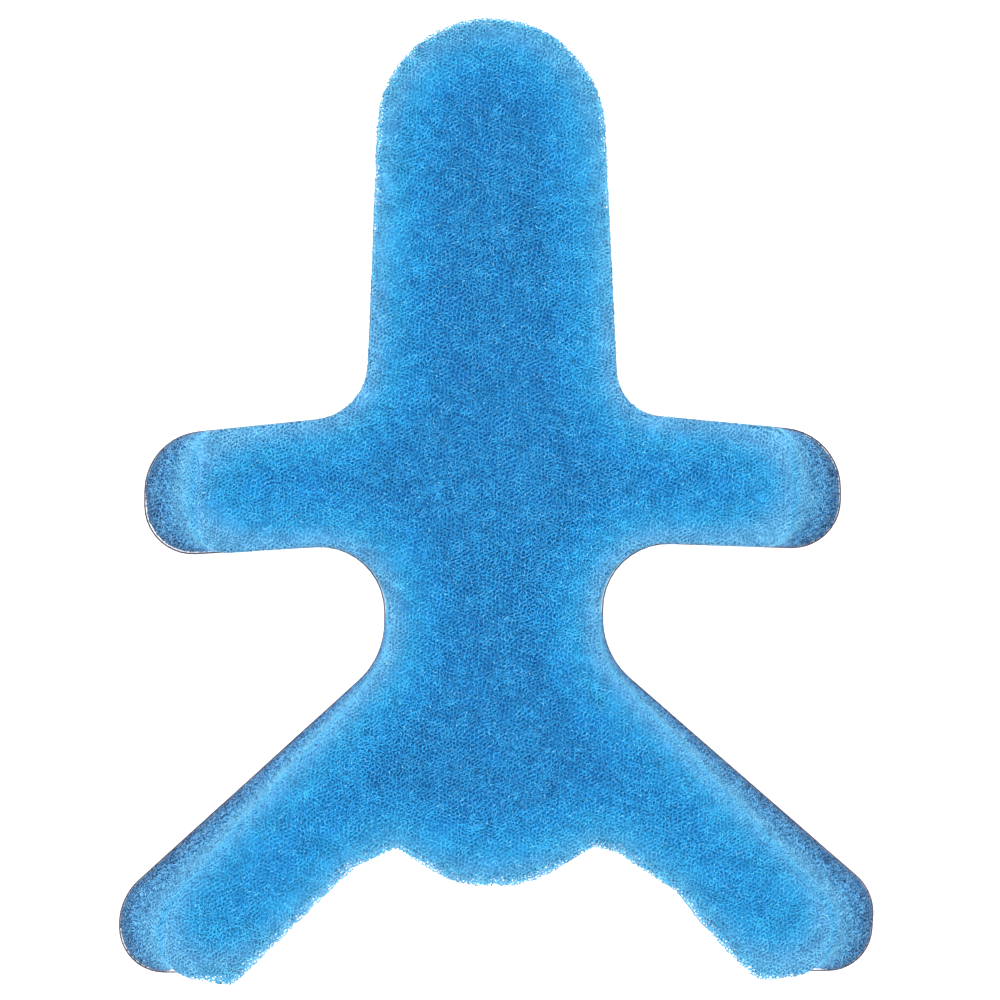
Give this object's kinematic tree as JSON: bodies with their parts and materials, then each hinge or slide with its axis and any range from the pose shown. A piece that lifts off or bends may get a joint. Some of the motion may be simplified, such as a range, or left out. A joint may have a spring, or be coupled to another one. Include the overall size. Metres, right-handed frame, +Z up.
{
  "type": "sponge filter",
  "caption": "Die-cut open-cell foam filter pad with a rounded head, side arms, slanted legs and a rounded belly, lying on a thin clear backing sheet.",
  "frame": {"origin": "on the underside of the backing sheet, under the middle of the outline's bounding box", "axes": "+Z up through the pad's thickness, +Y towards the rounded head, +X to the right seen from above"},
  "size_m": [0.1443, 0.183, 0.0208],
  "materials": {
    "foam": "matte open-cell foam",
    "sheet": "clear glossy plastic film"
  },
  "bodies": {
    "sheet": {"clear_backing_sheet": "sheet"},
    "chest": {"foam_chest": "foam"},
    "head": {"foam_head": "foam"},
    "hips": {"foam_hips": "foam"},
    "arm_left": {"foam_arm_left": "foam"},
    "arm_right": {"foam_arm_right": "foam"},
    "leg_left": {"foam_leg_left": "foam"},
    "leg_right": {"foam_leg_right": "foam"}
  },
  "joints": [
    {"name": "pad_lift", "type": "slide", "parent": "sheet", "child": "chest", "axis": [0, 0, 1], "range_m": [0, 0.05]},
    {"name": "neck_bend", "type": "hinge", "parent": "chest", "child": "head", "pos_m": [-0.0006, 0.0364, 0.0108], "axis": [1, 0, 0], "range_deg": [0, 90], "stiffness_Nm_per_rad": 0.002},
    {"name": "waist_bend", "type": "hinge", "parent": "chest", "child": "hips", "pos_m": [-0.0004, -0.026, 0.0108], "axis": [-1, 0, 0], "range_deg": [0, 90], "stiffness_Nm_per_rad": 0.002},
    {"name": "arm_left_bend", "type": "hinge", "parent": "chest", "child": "arm_left", "pos_m": [-0.042, 0.0024, 0.0108], "axis": [0, 1, 0], "range_deg": [0, 90], "stiffness_Nm_per_rad": 0.002},
    {"name": "arm_right_bend", "type": "hinge", "parent": "chest", "child": "arm_right", "pos_m": [0.041, 0.003, 0.0108], "axis": [0, -1, 0], "range_deg": [0, 90], "stiffness_Nm_per_rad": 0.002},
    {"name": "leg_left_bend", "type": "hinge", "parent": "hips", "child": "leg_left", "pos_m": [-0.0356, -0.0634, 0.0108], "axis": [-0.6718, 0.7407, 0], "range_deg": [0, 90], "stiffness_Nm_per_rad": 0.002},
    {"name": "leg_right_bend", "type": "hinge", "parent": "hips", "child": "leg_right", "pos_m": [0.0352, -0.0624, 0.0108], "axis": [-0.6568, -0.7541, 0], "range_deg": [0, 90], "stiffness_Nm_per_rad": 0.002}
  ]
}
